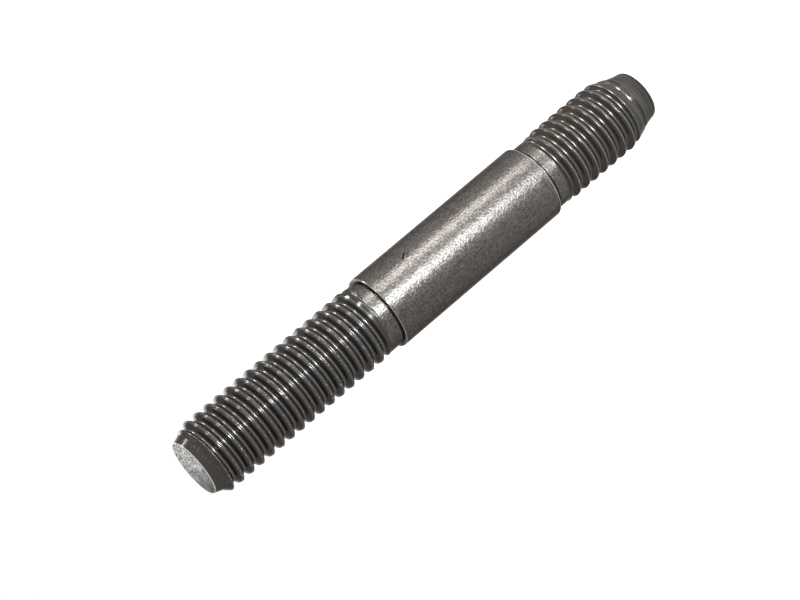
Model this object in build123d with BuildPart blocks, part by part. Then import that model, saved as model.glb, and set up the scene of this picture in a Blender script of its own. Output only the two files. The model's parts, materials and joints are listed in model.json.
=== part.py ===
from build123d import *

import os
from math import atan2, ceil, degrees, radians, tan

# Cylinder head stud, one rolled steel piece, in millimetres.
# It stands on its dog point, the end that is driven into the engine block. The origin is the
# centre of that end face, and +Z runs up the axis to the end that takes the cylinder head nut.

# Right-hand metric coarse thread, the same on both ends, with its groove as a plain V and its
# crests a clearance inside the shank's diameter. At a run-out the groove leaves the metal in this
# share of a turn.
thread_clearance = 0.03
thread_pitch = 1.25
thread_depth = 0.44
crest_flat = 0.25
run_out_share = 0.67

# Plain shank between the two shoulders
shank_diameter = 7.9
shank_length = 20.5
shank_edge_break = 0.12

# Nut end. The groove starts to lift a clearance away from the shoulder, and a run-out start is
# the angle of that place round the axis.
nut_end_length = 23.0
nut_thread_clearance = 2.185
nut_run_out_start = 180
nut_shoulder_height = 0.35
nut_neck_length = 1.4
nut_face_diameter = 5.8
nut_tip_length = 0.85
nut_tip_angle = 20
nut_chamfer_angle = 41

# Block end, measured from the end face of the dog
block_end_length = 14.4
block_thread_clearance = 2.098
block_run_out_start = 225
block_shoulder_height = 0.35
block_neck_length = 1.3

# Dog point, and the lead cone where the block thread starts
dog_length = 2.1
dog_end_diameter = 5.28
dog_taper = 10.5
dog_edge_break = 0.2
lead_diameter = 6.5
lead_angle = 18

# How far the groove's section reaches past the crest, and the lifted groove past the neck
overcut = 0.05

# Sizes that follow
thread_radius = (shank_diameter - thread_clearance) / 2
nut_neck_radius = shank_diameter / 2 - nut_shoulder_height
block_neck_radius = shank_diameter / 2 - block_shoulder_height
root_radius = thread_radius - thread_depth
overall_length = block_end_length + shank_length + nut_end_length
nut_shoulder = block_end_length + shank_length
nut_thread_length = nut_end_length - nut_thread_clearance
block_thread_length = block_end_length - block_thread_clearance
dog_base_radius = dog_end_diameter / 2 + dog_length * tan(radians(dog_taper))
lead_height = (thread_radius - lead_diameter / 2) / tan(radians(lead_angle))
tip_radius = nut_face_diameter / 2 + nut_tip_length * tan(radians(nut_tip_angle))
chamfer_height = (thread_radius - tip_radius) / tan(radians(nut_chamfer_angle))


def groove_turn(lift=0):
    """One turn of the groove, climbing a pitch from z = 0 at +X and moving outwards by lift."""
    mouth_radius = thread_radius + overcut
    mouth_half = (thread_pitch - crest_flat) / 2 * (mouth_radius - root_radius) / thread_depth
    with BuildPart() as turn:
        with BuildLine() as path:
            Helix(
                pitch=thread_pitch,
                height=thread_pitch,
                radius=thread_radius,
                cone_angle=degrees(atan2(lift, thread_pitch)),
            )
        with BuildSketch(Plane.XZ):
            with BuildLine():
                Polyline(
                    (root_radius, 0),
                    (mouth_radius, -mouth_half),
                    (mouth_radius, mouth_half),
                    close=True,
                )
            make_face()
        sweep(path=path.wires()[0], is_frenet=True)
    return turn.part


def run_out_turn(neck_radius):
    """The last turn, where the rolling dies let go and the groove rises out of the neck."""
    return groove_turn(lift=(neck_radius + overcut - root_radius) / run_out_share)


def turn_places(thread_length, run_out_start):
    """Where each full turn starts, from the run-out back past the end of the stud."""
    count = ceil(thread_length / thread_pitch) + 1
    return [
        Location((0, 0, thread_length - turn * thread_pitch), (0, 0, run_out_start))
        for turn in range(1, count + 1)
    ]


full_turn = groove_turn()
block_run_out = run_out_turn(block_neck_radius)
nut_run_out = run_out_turn(nut_neck_radius)

# The nut end is laid out from its own end face, looking back down the axis
from_nut_face = Plane(origin=(0, 0, overall_length), x_dir=(1, 0, 0), z_dir=(0, 0, -1))

with BuildPart() as stud:
    # Turned blank
    with BuildSketch(Plane.YZ):
        with BuildLine():
            Polyline(
                (0, 0),
                (dog_end_diameter / 2, 0),
                (dog_base_radius, dog_length),
                (lead_diameter / 2, dog_length),
                (thread_radius, dog_length + lead_height),
                (thread_radius, block_thread_length),
                (block_neck_radius, block_end_length - block_neck_length),
                (block_neck_radius, block_end_length),
                (shank_diameter / 2, block_end_length),
                (shank_diameter / 2, nut_shoulder),
                (nut_neck_radius, nut_shoulder),
                (nut_neck_radius, nut_shoulder + nut_neck_length),
                (thread_radius, overall_length - nut_thread_length),
                (thread_radius, overall_length - nut_tip_length - chamfer_height),
                (tip_radius, overall_length - nut_tip_length),
                (nut_face_diameter / 2, overall_length),
                (0, overall_length),
                close=True,
            )
        make_face()
    revolve(axis=Axis.Z)

    # Broken edges, round the dog point and at both ends of the shank
    rims = stud.edges().filter_by(GeomType.CIRCLE).sort_by(Axis.Z)
    shank_rims = rims.filter_by(lambda rim: abs(rim.radius - shank_diameter / 2) < 1e-4)
    chamfer(rims[0], length=dog_edge_break)
    chamfer(shank_rims, length=shank_edge_break)

    # Block thread: its full turns, then its run-out
    with Locations(turn_places(block_thread_length, block_run_out_start)):
        add(full_turn, mode=Mode.SUBTRACT)
    with Locations(Location((0, 0, block_thread_length), (0, 0, block_run_out_start))):
        add(block_run_out, mode=Mode.SUBTRACT)

    # Nut thread, in the same order
    with Locations(from_nut_face.location):
        with Locations(turn_places(nut_thread_length, nut_run_out_start)):
            add(full_turn, mode=Mode.SUBTRACT)
        with Locations(Location((0, 0, nut_thread_length), (0, 0, nut_run_out_start))):
            add(nut_run_out, mode=Mode.SUBTRACT)

stud.part.label = "stud"
os.makedirs("parts", exist_ok=True)
export_step(stud.part, "parts/stud.step")
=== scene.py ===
import json
from math import ceil, cos, floor, pi, radians, sin, tan

import bpy
from mathutils import Matrix, Vector


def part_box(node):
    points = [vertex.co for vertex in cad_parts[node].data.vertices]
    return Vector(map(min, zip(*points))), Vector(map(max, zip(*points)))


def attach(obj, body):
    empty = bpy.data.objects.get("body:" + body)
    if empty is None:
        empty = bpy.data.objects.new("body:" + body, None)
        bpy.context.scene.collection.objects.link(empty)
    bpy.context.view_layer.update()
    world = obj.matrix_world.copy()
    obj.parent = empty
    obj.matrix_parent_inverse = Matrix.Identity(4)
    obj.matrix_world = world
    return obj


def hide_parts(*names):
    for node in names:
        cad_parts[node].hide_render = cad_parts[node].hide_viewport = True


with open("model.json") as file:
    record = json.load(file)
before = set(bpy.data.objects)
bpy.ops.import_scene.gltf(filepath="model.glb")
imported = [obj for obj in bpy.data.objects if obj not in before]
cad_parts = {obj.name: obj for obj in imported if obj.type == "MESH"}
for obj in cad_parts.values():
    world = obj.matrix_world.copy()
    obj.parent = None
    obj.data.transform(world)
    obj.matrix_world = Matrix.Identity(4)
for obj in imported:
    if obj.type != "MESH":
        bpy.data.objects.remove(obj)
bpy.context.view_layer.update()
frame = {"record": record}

# Lengths are in millimetres along the stud's axis, up from the dog point's end face, and become
# metres where a mesh, lamp or camera is made.
mm = 0.001

foot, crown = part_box("stud")
mounts = {mount["name"]: mount for mount in frame["record"]["mounts"]}


def mount_height(name):
    return mounts[name]["pos_m"][2] / mm


total = (crown.z - foot.z) / mm
block_shoulder = mount_height("block_shoulder")
nut_shoulder = 2 * mount_height("shank") - block_shoulder
shank_radius = mounts["shank"]["dims"]["r_mm"]
crest_radius = mounts["nut_thread"]["dims"]["r_mm"]

# Rolled thread. The dies press a groove into a blank as wide as the neck, and the metal that
# leaves the groove rises into a rounded crest. The crest is swelled by what its rounding takes
# off its top.
pitch = 1.25
flank = radians(30)
root_radius = 3.273
root_half = 0.155
root_round = 0.3
crest_round = 0.3
crest_swell = 0.02

# A groove lifts a lip on each side. A lip starts and ends this far from the groove's centre, or
# ends at "out" towards the neck. It rises with a power of the groove's depth: early on the
# thread's side, late towards the neck. So a crest with a groove on one side only is lower.
lip_start = 0.25
lip_end = 1.0
lip_out = 0.55
early_power = 0.4
late_power = 3

# The groove's centre passes through the height "groove" on the +X side. It is whole at and past
# the height "full", and has left the metal at "gone". The thread lies "toward" +Z or -Z from its
# neck, and the dies press the metal smooth from the height "pressed" on, with a slight "dip" that
# deepens over dip_length. The key after "dip" is how brightly its crests and roots are coloured,
# partly a burnish from the dies and partly painted highlight. "line" is how bright the edge of
# the pressed metal is, a burnish line with a painted highlight, and "cone_scuffs" how much its
# end's cone carries scuffs.
dip_length = 0.6
nut_thread = {
    "groove": total - 20.19,
    "full": total - 21.2,
    "gone": total - 21.8,
    "neck_radius": 3.61,
    "pressed": nut_shoulder + 1.54,
    "dip": 0.07,
    "wear": 1.0,
    "line": 1,
    "cone_scuffs": 0.13,
    "toward": 1,
}
block_thread = {
    "groove": 11.521,
    "full": 12.41,
    "gone": 12.74,
    "neck_radius": 3.58,
    "pressed": block_shoulder - 1.48,
    "dip": 0.0,
    "wear": 0.6,
    "line": 0,
    "cone_scuffs": 0,
    "toward": -1,
}

# Edge where a cone has cut the thread: its rounding, and how much brighter than a crest it is
# coloured, a painted highlight along the edge
cone_edge_round = 0.04
cone_edge_highlight = 1.6

# Nut end: a slim tip above the chamfer of the first thread. The rim of its face is coloured as
# uncoated steel: partly abraded to the metal, partly painted highlight.
nut_face_radius = 2.9
nut_tip = 0.85
nut_tip_angle = radians(20)
nut_chamfer = radians(41)
nut_face_rings = (2.5, 1.8, 0.9)
rim_start = 0.1
rim_edge = 0.08
rim_radius = 0.05

# Block end: a tapered dog point that flares a little towards its top. A small groove parts it
# from the step where the lead cone starts.
lead_radius = 3.25
lead_angle = radians(18)
lead_start = 0.1
dog_length = 2.1
dog_end_radius = 2.64
dog_taper = radians(10.5)
dog_edge_radius = 0.28
dog_flare = 0.06
dog_flare_height = 1.0
dog_face_rings = (0.7, 1.6)
step_groove_start = 0.26
step_groove_end = 0.14
step_groove_depth = 0.1

# Short nick on the shank, coloured near black as painted shade in the dent: its place round the axis
# and up it, and its lean from the axis
nick_angle = radians(-50.3)
nick_height = 30.39
nick_lean = radians(-42)
nick_length = 1.25
nick_width = 0.26

# Shank: its broken edges and how far round them they are coloured lighter, partly abraded and partly
# painted highlight, and the undercuts in the necks beside its shoulders, with where each is full and
# where it has ended
block_edge_radius = 0.12
nut_edge_radius = 0.07
edge_reach = 0.08
edge_depth = 0.2
undercut = 0.14
block_undercut_full = 0.28
block_undercut_end = 0.36
nut_undercut_end = 0.15

# How far from the shoulders the turned rings take over from the threads
block_neck_end = 0.7
nut_neck_end = 0.8

# Mesh: columns round the stud, rows in a turn of the thread and how far they crowd towards its
# lips and roots, the least height between a row and a square end, and rings along the shank
columns = 124
turn_rows = 26
row_crowd = 0.022
row_margin = 0.012
shank_rings = 8


# ---- Forms ----


def smooth_min(a, b, width):
    """The lower of a and b, with the corner between them rounded over a width."""
    near = max(width - abs(a - b), 0) / width
    return min(a, b) - near * near * width / 4


def smooth_max(a, b, width):
    return -smooth_min(-a, -b, width)


def clamp(x):
    return min(max(x, 0.0), 1.0)


def smooth_step(x):
    x = clamp(x)
    return x * x * (3 - 2 * x)


def fade(distance, reach, blur):
    """1 well inside a reach and 0 past it, changing over the blur."""
    return clamp((reach - distance) / blur)


def near_grooves(thread, angle, z):
    """Distance, depth from 0 to 1, and side of the groove turns below and above a point."""
    turn = (z - thread["groove"]) / pitch - angle / (2 * pi)
    for k in (floor(turn), floor(turn) + 1):
        distance = abs(turn - k) * pitch
        centre = z + (k - turn) * pitch
        depth = (centre - thread["gone"]) / (thread["full"] - thread["gone"])
        yield distance, smooth_step(depth), (z - centre) * thread["toward"] > 0


def thread_surface(thread, angle, z):
    """Radius of a thread's surface, from its neck to the end of the stud."""
    past = (z - thread["pressed"]) * thread["toward"]
    neck = thread["neck_radius"] - thread["dip"] * clamp(past / dip_length)
    rise = 0
    groove = crest_radius + pitch
    corner = crest_round
    for distance, depth, inside in near_grooves(thread, angle, z):
        power, end = (early_power, lip_end) if inside else (late_power, lip_out)
        rise += depth ** power * fade(distance, reach=end, blur=end - lip_start)
        if depth > 0:
            root = neck + (root_radius - neck) * depth
            wall = root + (distance - root_half) / tan(flank)
            side = smooth_max(root, wall, root_round)
            if side < groove:
                groove = side
                corner = crest_round * depth
    crest = neck + (crest_radius + crest_swell - neck) * min(rise, 1)
    return smooth_min(groove, crest, max(corner, 0.001))


def nut_end_cone(z):
    """Radius of the blank's two cones below the nut end's face."""
    down = total - z
    tip = nut_face_radius + min(down, nut_tip) * tan(nut_tip_angle)
    return tip + max(down - nut_tip, 0) * tan(nut_chamfer)


def block_end_cone(z):
    """Radius of the lead cone above the dog point."""
    return lead_radius + (z - dog_length) * tan(lead_angle)


def rounded(points, steps=4):
    """Profile points (radius, height, corner radius) as a line with its corners rounded."""
    line = []
    for k, (r, z, corner) in enumerate(points):
        if not corner:
            line.append((r, z))
            continue
        here = Vector((r, z))
        before = (Vector(points[k - 1][:2]) - here).normalized()
        after = (Vector(points[k + 1][:2]) - here).normalized()
        half = before.angle(after) / 2
        middle = (before + after).normalized()
        centre = here + middle * corner / sin(half)
        start = here + before * corner / tan(half) - centre
        sweep = start.angle_signed(here + after * corner / tan(half) - centre)
        for step in range(steps + 1):
            turned = Matrix.Rotation(-sweep * step / steps, 2) @ start
            line.append(tuple(centre + turned))
    return line


def thread_marks(thread, angle, z, radius, cone):
    """How far a point is rolled smooth; how bright its burnish and painted highlight are, uncoated
    steel at 2; and how much it carries scuffs and a painted highlight on cut edges, 0 to 1.
    """
    whole = thread_surface(thread, angle, z)
    cut = 1 - fade(whole - radius, reach=0.04, blur=0.04)
    deep = 1 - fade(cone - root_radius, reach=0.18, blur=0.15)
    cut_edge = fade(abs(whole - cone), reach=0.09, blur=0.09) * deep
    (low, low_depth, _), (high, high_depth, _) = near_grooves(thread, angle, z)
    from_root = min(low, high)
    from_crest = abs(pitch / 2 - from_root)
    past = (z - thread["pressed"]) * thread["toward"]
    rolled = fade(-past, reach=0.02, blur=0.04)
    line = fade(abs(past), reach=0.06, blur=0.06) * thread["line"]
    raised = min(low_depth, high_depth) ** 0.3
    crest = raised * (1 - cut) * fade(from_crest, reach=0.08, blur=0.04)
    root = rolled * (1 - cut) * fade(from_root, reach=0.13, blur=0.05)
    # Cut edges also take the lighter colour of the scuffs, as a painted highlight along them.
    scuffed = max(crest, cut_edge, cut * thread["cone_scuffs"])
    # Crests, roots and the pressed edge's line are coloured lighter, partly burnish and partly
    # painted highlight; cut edges more so, as a painted highlight.
    burnished = max(crest, root * deep, cut_edge * cone_edge_highlight, line) * thread["wear"]
    return rolled, burnished, scuffed


def edge_marks(r, z):
    """Marks of a turned ring: lighter on the edges of the shank, partly abraded and partly painted
    highlight, and uncoated steel with a painted highlight on the face's rim.
    """
    from_edge = min(
        abs(z - block_shoulder - block_edge_radius / 2),
        abs(z - nut_shoulder + nut_edge_radius / 2),
    )
    # The face's rim and the shank's edges are coloured lighter: partly abraded, partly painted
    # highlight.
    if z > total - (rim_start + rim_edge) / 2:
        return 1, 2, 0
    if from_edge < edge_reach and r > shank_radius - edge_depth:
        return 1, 1.35, 0.9
    return 0, 0, 0


def column_angle(i):
    return 2 * pi * i / columns


def row_offsets():
    """Heights of the rows within a pitch, from the groove's centre, closer on lips and root."""
    half = turn_rows // 2
    even = [pitch * k / turn_rows for k in range(-half, half)]
    return [offset - row_crowd * sin(4 * pi * offset / pitch) for offset in even]


class Skin:
    """Vertices and faces gathered ring by ring, from the foot of the stud to its top."""

    def __init__(self):
        self.points = []
        self.marks = []
        self.faces = []
        self.finishes = []

    def point(self, r, angle, z, marks=(0, 0, 0)):
        self.points.append((r * cos(angle) * mm, r * sin(angle) * mm, z * mm))
        self.marks.append(marks)
        return len(self.points) - 1

    def ring(self, r, z, marks=(0, 0, 0)):
        return [self.point(r, column_angle(i), z, marks) for i in range(columns)]

    def face(self, corners, finish):
        kept = [c for k, c in enumerate(corners) if c != corners[k - 1]]
        if len(kept) > 2:
            self.faces.append(kept)
            self.finishes.append(finish)

    def join(self, low, high, finish):
        for i in range(columns):
            n = (i + 1) % columns
            self.face((low[i], low[n], high[n], high[i]), finish)

    def lathe(self, ring, profile, finish):
        """Turned surface from a ring through the profile's points. Returns the last ring."""
        for r, z in profile:
            following = self.ring(r, z, edge_marks(r, z))
            self.join(ring, following, finish)
            ring = following
        return ring

    def pole(self, ring, z, finish):
        centre = self.point(0, 0, z)
        for i in range(columns):
            self.face((ring[i], ring[(i + 1) % columns], centre), finish)

    def spiral(self, thread, cone, low_z, high_z, low, finish):
        """Thread cut into a cone, in rows that follow the helix, square at both heights."""

        def threaded(i, z):
            angle = column_angle(i)
            r = smooth_min(thread_surface(thread, angle, z), cone(z), cone_edge_round)
            return self.point(r, angle, z, thread_marks(thread, angle, z, r, cone(z)))

        high = [threaded(i, high_z) for i in range(columns)]
        offsets = row_offsets()
        first = turn_rows * (floor((low_z - thread["groove"]) / pitch) - 2)
        last = turn_rows * (ceil((high_z - thread["groove"]) / pitch) + 2)
        grid = {}
        for j in range(first, last):
            for i in range(columns):
                turns = i / columns + j // turn_rows
                z = thread["groove"] + turns * pitch + offsets[j % turn_rows]
                if z < low_z + row_margin:
                    grid[i, j] = low[i]
                elif z > high_z - row_margin:
                    grid[i, j] = high[i]
                else:
                    grid[i, j] = threaded(i, z)
        for j in range(first, last - turn_rows - 1):
            for i in range(columns):
                n, k = (i + 1, j) if i + 1 < columns else (0, j + turn_rows)
                self.face((grid[i, j], grid[n, k], grid[n, k + 1], grid[i, j + 1]), finish)
        return high

    def build(self, name):
        mesh = bpy.data.meshes.new(name)
        mesh.from_pydata(self.points, [], self.faces)
        for polygon, finish in zip(mesh.polygons, self.finishes):
            polygon.material_index = finish
            polygon.use_smooth = True
        for k, kind in enumerate(("rolled", "burnished", "scuffed")):
            layer = mesh.attributes.new(kind, "FLOAT", "POINT")
            layer.data.foreach_set("value", [marks[k] for marks in self.marks])
        mesh.validate()
        piece = bpy.data.objects.new(name, mesh)
        bpy.context.scene.collection.objects.link(piece)
        return piece


STEEL, FACE, DOG = range(3)


def make_stud():
    skin = Skin()
    dog_base_radius = dog_end_radius + dog_length * tan(dog_taper)

    # Dog point, from the middle of its end face to the step under the lead cone
    inner, outer = dog_face_rings
    middle = skin.ring(inner, 0)
    centre = skin.point(0, 0, 0)
    for i in range(columns):
        skin.face((middle[(i + 1) % columns], middle[i], centre), DOG)
    dog = rounded([
        (outer, 0, 0),
        (dog_end_radius, 0, dog_edge_radius),
        (dog_end_radius + dog_flare_height * tan(dog_taper), dog_flare_height, 0.6),
        (dog_base_radius + dog_flare, dog_length - step_groove_start, 0.06),
        (dog_base_radius - step_groove_depth, dog_length - step_groove_end, 0.04),
        (lead_radius, dog_length, 0.05),
        (lead_radius + lead_start * tan(lead_angle), dog_length + lead_start, 0),
    ])
    ring = skin.lathe(middle, dog, DOG)

    # Block thread
    low = dog_length + lead_start
    high = block_shoulder - block_neck_end
    ring = skin.spiral(block_thread, block_end_cone, low, high, ring, STEEL)

    # Neck, shank and neck. The points without a corner radius keep the shading flat between edges.
    neck = block_thread["neck_radius"]
    ring = skin.lathe(ring, rounded([
        (neck, block_shoulder - 0.5, 0),
        (neck, block_shoulder - block_undercut_end, 0.05),
        (neck - undercut, block_shoulder - block_undercut_full, 0.04),
        (neck - undercut, block_shoulder, 0.04),
        (shank_radius, block_shoulder, block_edge_radius),
        (shank_radius, block_shoulder + 0.16, 0),
        (shank_radius, block_shoulder + 1, 0),
    ]), STEEL)
    step = (nut_shoulder - block_shoulder - 2) / shank_rings
    heights = [block_shoulder + 1 + step * k for k in range(1, shank_rings + 1)]
    ring = skin.lathe(ring, [(shank_radius, z) for z in heights], STEEL)
    neck = nut_thread["neck_radius"]
    ring = skin.lathe(ring, rounded([
        (shank_radius, nut_shoulder - 0.6, 0),
        (shank_radius, nut_shoulder - 0.12, 0),
        (shank_radius, nut_shoulder, nut_edge_radius),
        (neck - undercut, nut_shoulder, 0.03),
        (neck, nut_shoulder + nut_undercut_end, 0.04),
        (neck, nut_shoulder + 0.5, 0),
        (neck, nut_shoulder + nut_neck_end, 0),
    ]), STEEL)

    # Nut thread and the end face
    low = nut_shoulder + nut_neck_end
    high = total - rim_start
    ring = skin.spiral(nut_thread, nut_end_cone, low, high, ring, STEEL)
    ring = skin.lathe(ring, rounded([
        (nut_face_radius + rim_edge * tan(nut_tip_angle), total - rim_edge, 0),
        (nut_face_radius, total, rim_radius),
        (nut_face_radius - rim_start, total, 0),
    ]), STEEL)
    ring = skin.lathe(ring, [(r, total) for r in nut_face_rings], FACE)
    skin.pole(ring, total, FACE)
    return skin.build("rolled_stud")


# ---- Finishes ----


def add(tree, kind, feeds=None, **settings):
    """Node of one kind in a tree, with its settings and what feeds its sockets."""
    made = tree.nodes.new("ShaderNode" + kind)
    for name, value in settings.items():
        setattr(made, name, value)
    for socket, value in (feeds or {}).items():
        if isinstance(value, bpy.types.NodeSocket):
            tree.links.new(value, made.inputs[socket])
        else:
            made.inputs[socket].default_value = value
    return made


def calculate(tree, operation, first, second=0.0, third=0.0, clamped=False):
    """Result of a sum, a product or another operation on two or three numbers."""
    feeds = {0: first, 1: second, 2: third}
    return add(tree, "Math", feeds, operation=operation, use_clamp=clamped).outputs[0]


def blend(tree, share, first, second):
    """Colour between two colours."""
    feeds = {0: share, 6: first, 7: second}
    return add(tree, "Mix", feeds, data_type="RGBA").outputs[2]


def between(tree, share, low, high):
    """Number between two numbers."""
    return add(tree, "Mix", {0: share, 2: low, 3: high}).outputs[0]


def remap(tree, value, low, high, out_low=0.0, out_high=1.0):
    """A range of numbers spread over another, 0 to 1 if nothing else is asked, and no further."""
    feeds = {"Value": value, 1: low, 2: high, 3: out_low, 4: out_high}
    return add(tree, "MapRange", feeds).outputs[0]


def noise(tree, place, scale, detail, rough):
    """Uneven value from 0 to 1 over the piece, where a scale of 1000 has patches of 1 mm."""
    feeds = {"Vector": place, "Scale": scale, "Detail": detail, "Roughness": rough}
    return add(tree, "TexNoise", feeds).outputs[0]


def new_group(name, inputs, outputs):
    """Empty shader node group with named sockets. Gives the tree, its inputs and its output."""
    tree = bpy.data.node_groups.new(name, "ShaderNodeTree")
    for socket, kind, value in inputs:
        made = tree.interface.new_socket(socket, in_out="INPUT", socket_type="NodeSocket" + kind)
        if value is not None:
            made.default_value = value
    for socket, kind in outputs:
        tree.interface.new_socket(socket, in_out="OUTPUT", socket_type="NodeSocket" + kind)
    start = tree.nodes.new("NodeGroupInput")
    end = tree.nodes.new("NodeGroupOutput")
    return tree, start.outputs, end.inputs


def make_grain():
    """Crystals of the phosphate coat: their height, and how coarse the coat is there."""
    tree, start, end = new_group(
        "phosphate_grain",
        [("Place", "Vector", None), ("Crystals", "Float", 6000.0)],
        [("Height", "Float"), ("Patches", "Float")],
    )
    fine = noise(tree, start["Place"], start["Crystals"], 1.5, 0.5)
    coarse_scale = calculate(tree, "MULTIPLY", start["Crystals"], 0.4)
    coarse = noise(tree, start["Place"], coarse_scale, 2.0, 0.5)
    height = between(tree, 0.2, fine, coarse)
    tree.links.new(height, end["Height"])
    patch_scale = calculate(tree, "MULTIPLY", start["Crystals"], 0.07)
    patches = noise(tree, start["Place"], patch_scale, 3.0, 0.6)
    tree.links.new(remap(tree, patches, 0.35, 0.65), end["Patches"])
    return tree


def make_oil_film():
    """Colour of the steel under a thin film of oil, warm where the film is thick."""
    tree, start, end = new_group(
        "oil_film",
        [
            ("Place", "Vector", None),
            ("Spread", "Float", 500.0),
            ("Clean", "Color", (0.2, 0.2, 0.2, 1)),
            ("Oiled", "Color", (0.1, 0.08, 0.06, 1)),
        ],
        [("Color", "Color")],
    )
    film = noise(tree, start["Place"], start["Spread"], 3.0, 0.55)
    share = remap(tree, film, 0.35, 0.65)
    tree.links.new(blend(tree, share, start["Clean"], start["Oiled"]), end["Color"])
    return tree


def make_scuffs():
    """Small scuff marks that come in runs, where the mask lets them be, and their height."""
    tree, start, end = new_group(
        "scuffs",
        [
            ("Place", "Vector", None),
            ("Where", "Float", 1.0),
            ("Scale", "Float", 3000.0),
            ("Amount", "Float", 0.5),
        ],
        [("Mask", "Float"), ("Height", "Float")],
    )
    spots = noise(tree, start["Place"], start["Scale"], 2.0, 0.6)
    runs = noise(tree, start["Place"], 450.0, 1.0, 0.5)
    edge = calculate(tree, "SUBTRACT", 1.0, calculate(tree, "MULTIPLY", start["Amount"], runs))
    low = calculate(tree, "MULTIPLY", edge, 0.75)
    mask = remap(tree, spots, low, calculate(tree, "ADD", low, 0.08))
    tree.links.new(calculate(tree, "MULTIPLY", mask, start["Where"]), end["Mask"])
    run_share = remap(tree, runs, 0.5, 0.6)
    lift = calculate(tree, "MULTIPLY", calculate(tree, "MULTIPLY", spots, run_share), start["Where"])
    tree.links.new(lift, end["Height"])
    return tree


grain_group = make_grain()
oil_group = make_oil_film()
scuff_group = make_scuffs()


def use(tree, group, **feeds):
    """One of the shared groups in a material, with that material's values."""
    made = tree.nodes.new("ShaderNodeGroup")
    made.node_tree = group
    for name, value in feeds.items():
        if isinstance(value, bpy.types.NodeSocket):
            tree.links.new(value, made.inputs[name])
        else:
            made.inputs[name].default_value = value
    return made.outputs


def start_metal(name):
    """New material with its tree, its Principled shader and the place on the piece."""
    material = bpy.data.materials.new(name)
    material.use_nodes = True
    tree = material.node_tree
    shader = tree.nodes["Principled BSDF"]
    place = add(tree, "TexCoord").outputs["Object"]
    return material, tree, shader, place


def mark(tree, name):
    """One of the marks that the piece's vertices carry."""
    return add(tree, "Attribute", attribute_name=name).outputs["Fac"]


def feed(tree, shader, **feeds):
    """Links to the shader's sockets, named with a low line for each space."""
    for name, source in feeds.items():
        tree.links.new(source, shader.inputs[name.replace("_", " ")])


def bump(tree, height, depth):
    """Normal of a surface with this height, where a height of 1 stands for depth metres."""
    return add(tree, "Bump", {"Height": height, "Distance": depth}).outputs[0]


def nick_mask(tree, place):
    """Mask of the short nick on the shank, 1 over the middle half of its length and width."""
    along = Vector((sin(nick_lean), cos(nick_lean)))
    across = Vector((cos(nick_lean), -sin(nick_lean)))
    side = Vector((-sin(nick_angle), cos(nick_angle), 0))
    spans = []
    for turned, half in ((along, nick_length / 2), (across, nick_width / 2)):
        axis = side * turned.x + Vector((0, 0, turned.y))
        feeds = {0: place, 1: axis}
        reach = add(tree, "VectorMath", feeds, operation="DOT_PRODUCT").outputs["Value"]
        middle = turned.y * nick_height
        away = calculate(tree, "ABSOLUTE", calculate(tree, "SUBTRACT", reach, middle * mm))
        spans.append(remap(tree, away, half * mm, half * 0.5 * mm))
    front = Vector((cos(nick_angle), sin(nick_angle), 0))
    facing = add(tree, "VectorMath", {0: place, 1: front}, operation="DOT_PRODUCT").outputs["Value"]
    near = calculate(tree, "GREATER_THAN", facing, 0.0)
    return calculate(tree, "MULTIPLY", calculate(tree, "MULTIPLY", spans[0], spans[1]), near)


def make_phosphated_steel():
    """Grained coat on the shank and necks, pressed smooth and dark where the dies rolled, with
    crests, roots and edges coloured lighter: partly burnish and scuffs, partly painted highlight.
    """
    material, tree, shader, place = start_metal("phosphated_steel")
    rolled = mark(tree, "rolled")
    burnished = mark(tree, "burnished")
    scuffed = mark(tree, "scuffed")

    grain = use(tree, grain_group, Place=place, Crystals=5000.0)
    coat = use(
        tree, oil_group, Place=place, Spread=1500.0,
        Clean=(0.097, 0.089, 0.082, 1), Oiled=(0.081, 0.071, 0.062, 1),
    )
    flanks = use(
        tree, oil_group, Place=place, Spread=300.0,
        Clean=(0.036, 0.034, 0.032, 1), Oiled=(0.044, 0.034, 0.025, 1),
    )
    scuffs = use(tree, scuff_group, Place=place, Where=scuffed, Scale=5200.0, Amount=0.35)
    nick = nick_mask(tree, place)
    pits = remap(tree, grain["Height"], 0.36, 0.6)

    # Crests and roots are coloured lighter than the flanks: partly a burnish from the dies, partly
    # painted highlight.
    polish_and_highlight = (0.088, 0.084, 0.080, 1)
    bare_steel_and_highlight = (0.42, 0.415, 0.405, 1)
    pressed = blend(tree, burnished, flanks["Color"], polish_and_highlight)
    thread = blend(tree, scuffed, pressed, polish_and_highlight)
    # Edges marked past 1 are coloured as uncoated steel, like the scuffs: painted highlight, with
    # some abrasion on the rim and the shank's edges.
    edge_wear_and_highlight = calculate(tree, "SUBTRACT", burnished, 1.0, clamped=True)
    bare_and_highlight = calculate(tree, "MAXIMUM", scuffs["Mask"], edge_wear_and_highlight)
    worn_and_highlit = blend(tree, bare_and_highlight, thread, bare_steel_and_highlight)
    dusted = blend(tree, pits, (0.045, 0.040, 0.036, 1), coat["Color"])
    # The nick is coloured near black: painted shade in the dent.
    coated = blend(tree, nick, dusted, (0.01, 0.01, 0.01, 1))
    colour = blend(tree, rolled, coated, worn_and_highlit)

    coat_rough = remap(tree, grain["Patches"], 0.0, 1.0, 0.276, 0.29)
    thread_rough = between(tree, bare_and_highlight, 0.16, 0.24)
    roughness = between(tree, rolled, coat_rough, thread_rough)

    coat_height = calculate(tree, "SUBTRACT", grain["Height"], nick)
    grain_height = calculate(tree, "MULTIPLY", coat_height, calculate(tree, "SUBTRACT", 1.0, rolled))
    height = calculate(tree, "ADD", grain_height, calculate(tree, "MULTIPLY", scuffs["Height"], 0.5))
    feed(
        tree, shader, Base_Color=colour, Roughness=roughness,
        Metallic=between(tree, rolled, 0.95, 0.75),
        Normal=bump(tree, height, 0.038 * mm),
    )
    steel_sheen(shader)
    return material


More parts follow.
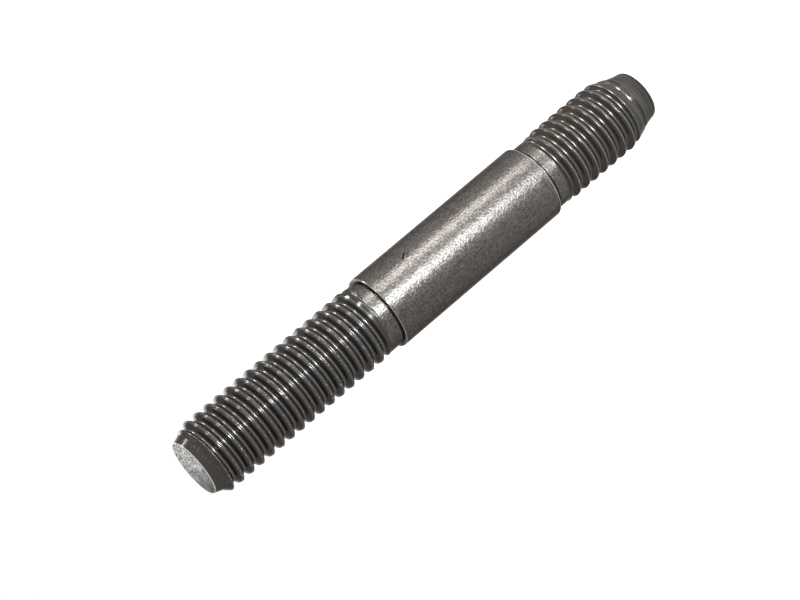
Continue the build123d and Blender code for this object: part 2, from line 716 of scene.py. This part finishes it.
def make_sheared_face():
    """End face, cut from the bar: light and speckled towards +X, dark and streaked towards -X, as a
    painted highlight and shade.
    """
    material, tree, shader, place = start_metal("sheared_face")
    specks = add(tree, "Mapping", {"Vector": place, "Scale": (0.8, 0.35, 1.0)}).outputs[0]
    streaks = add(tree, "Mapping", {"Vector": place, "Scale": (0.3, 1.0, 1.0)}).outputs[0]
    grain = use(tree, grain_group, Place=specks, Crystals=6600.0)
    film = use(
        tree, oil_group, Place=specks, Spread=2600.0,
        Clean=(0.99, 0.985, 0.97, 1), Oiled=(0.62, 0.61, 0.595, 1),
    )
    dull = use(
        tree, oil_group, Place=streaks, Spread=2600.0,
        Clean=(0.20, 0.194, 0.187, 1), Oiled=(0.045, 0.042, 0.04, 1),
    )
    pits = remap(tree, grain["Height"], 0.38, 0.52)
    painted_lit_side = blend(tree, pits, (0.13, 0.127, 0.122, 1), film["Color"])
    # From -X to +X the face goes from the dull streaked colour to the light speckled one: painted
    # shade and painted highlight.
    across = add(tree, "SeparateXYZ", {0: place}).outputs["X"]
    uneven = calculate(tree, "MULTIPLY_ADD", grain["Patches"], 1.2 * mm, across)
    painted_light_share = remap(tree, uneven, -1.8 * mm, 1.6 * mm)
    colour = blend(tree, painted_light_share, dull["Color"], painted_lit_side)
    feed(
        tree, shader, Base_Color=colour,
        Roughness=remap(tree, grain["Patches"], 0.0, 1.0, 0.34, 0.5),
        Normal=bump(tree, grain["Height"], 0.028 * mm),
    )
    steel_sheen(shader)
    return material


def make_turned_dog():
    """Dog point, with the tool's fine rings round it and oil left in them."""
    material, tree, shader, place = start_metal("turned_dog")
    rings = add(tree, "Mapping", {"Vector": place, "Scale": (0.06, 0.06, 1.0)}).outputs[0]
    lines = use(tree, grain_group, Place=rings, Crystals=4800.0)
    colour = use(
        tree, oil_group, Place=rings, Spread=3400.0,
        Clean=(0.020, 0.019, 0.018, 1), Oiled=(0.056, 0.049, 0.041, 1),
    )
    feed(
        tree, shader, Base_Color=colour["Color"],
        Roughness=remap(tree, lines["Patches"], 0.0, 1.0, 0.3, 0.42),
        Normal=bump(tree, lines["Height"], 0.030 * mm),
    )
    steel_sheen(shader)
    return material


def steel_sheen(shader):
    """What is the same all over the stud: mostly metal, with a dull oxide at glancing angles."""
    shader.inputs["Metallic"].default_value = 0.75
    shader.inputs["Specular Tint"].default_value = (0.37, 0.36, 0.36, 1)


# ---- Studio ----


def seen(tree, *others):
    """1 for rays from the camera, for reflections and for other kinds of ray, 0 for the rest."""
    path = add(tree, "LightPath").outputs
    shown = path["Is Camera Ray"]
    for kind in ("Is Glossy Ray", *others):
        shown = calculate(tree, "MAXIMUM", shown, path[kind])
    return shown


def make_world():
    """White where it is seen, and half as strong as a light."""
    world = bpy.data.worlds.new("studio")
    bpy.context.scene.world = world
    world.use_nodes = True
    tree = world.node_tree
    background = tree.nodes["Background"]
    background.inputs["Color"].default_value = (1, 1, 1, 1)
    strength = between(tree, seen(tree, "Is Transmission Ray"), 0.5, 1.0)
    tree.links.new(strength, background.inputs["Strength"])


def make_floor():
    """Pale floor that glows a little where it is seen, so that it fades into the background."""
    half = 3.0
    corners = [(-half, -half, 0), (half, -half, 0), (half, half, 0), (-half, half, 0)]
    mesh = bpy.data.meshes.new("floor")
    mesh.from_pydata(corners, [], [(0, 1, 2, 3)])
    floor_piece = bpy.data.objects.new("floor", mesh)
    bpy.context.scene.collection.objects.link(floor_piece)
    material = bpy.data.materials.new("pale_floor")
    material.use_nodes = True
    tree = material.node_tree
    shader = tree.nodes["Principled BSDF"]
    shader.inputs["Base Color"].default_value = (0.85, 0.85, 0.85, 1)
    shader.inputs["Roughness"].default_value = 0.9
    shader.inputs["Emission Color"].default_value = (1, 1, 1, 1)
    glow = calculate(tree, "MULTIPLY", seen(tree), 0.55)
    tree.links.new(glow, shader.inputs["Emission Strength"])
    mesh.materials.append(material)


def make_lamp(name, azimuth, height, distance, width, tall, radiance, colour):
    """Softbox that faces the stud's axis, at an azimuth in degrees from the camera's side."""
    data = bpy.data.lights.new(name, "AREA")
    data.shape = "RECTANGLE"
    data.size = width * mm
    data.size_y = tall * mm
    data.energy = radiance * pi * width * tall * mm * mm
    data.color = colour
    lamp = bpy.data.objects.new(name, data)
    bpy.context.scene.collection.objects.link(lamp)
    around = radians(azimuth)
    place = Vector((sin(around) * distance, -cos(around) * distance, height))
    facing = place - Vector((0, 0, clamp(height / total) * total))
    lamp.location = place * mm
    lamp.rotation_mode = "QUATERNION"
    lamp.rotation_quaternion = facing.to_track_quat("Z", "Y")
    lamp.visible_camera = False


# The camera looks down on the nut end and is rolled, so that the stud lies across the frame
camera_elevation = radians(19.1)
camera_roll = radians(-130.25)
camera_distance = 248.02
camera_target = 30.57
camera_offset = (-1.022, -1.417)
camera_lens = 118.8


def make_camera():
    data = bpy.data.cameras.new("camera")
    data.lens = camera_lens
    data.sensor_width = 36
    data.clip_start = 0.01
    camera = bpy.data.objects.new("camera", data)
    bpy.context.scene.collection.objects.link(camera)
    tilt = Matrix.Rotation(pi / 2 - camera_elevation, 3, "X")
    turn = tilt @ Matrix.Rotation(camera_roll, 3, "Z")
    right, up, back = turn.col
    place = Vector((0, 0, camera_target)) + back * camera_distance
    place += right * camera_offset[0] + up * camera_offset[1]
    camera.matrix_world = Matrix.Translation(place * mm) @ turn.to_4x4()
    bpy.context.scene.camera = camera


stud = make_stud()
for finish in (make_phosphated_steel(), make_sheared_face(), make_turned_dog()):
    stud.data.materials.append(finish)
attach(stud, "root")
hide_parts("stud")

# Lamps: azimuth in degrees, height, distance from the axis, width and height of the softbox in
# millimetres, radiance and colour. The far ones light the crests, roots and ends, and the near
# ones the shank, which mirrors only what stands low in front of it.
white = (1, 1, 1)
daylight = (0.85, 0.935, 1.0)
far = 170
near = 36
lamps = {
    "key": (4, 17, far, 24, 50, 120, daylight),
    "front": (14, 35, far, 141, 50, 5, daylight),
    "warm": (50, 60, far, 24, 40, 38, white),
    "side": (97, 75, far, 28, 40, 38, daylight),
    "rim": (158, 81, far, 80, 60, 8, (0.93, 0.97, 1.0)),
    "low_key": (6, 14.5, near, 14, 28, 13.2, daylight),
    "low_warm": (50, 14.5, near, 11, 28, 13.5, (0.97, 0.99, 1.0)),
}

make_world()
make_floor()
for name, (azimuth, height, distance, width, tall, radiance, colour) in lamps.items():
    make_lamp(name, azimuth, height, distance, width, tall, radiance, colour)
make_camera()

scene = bpy.context.scene
scene.view_settings.view_transform = "Standard"
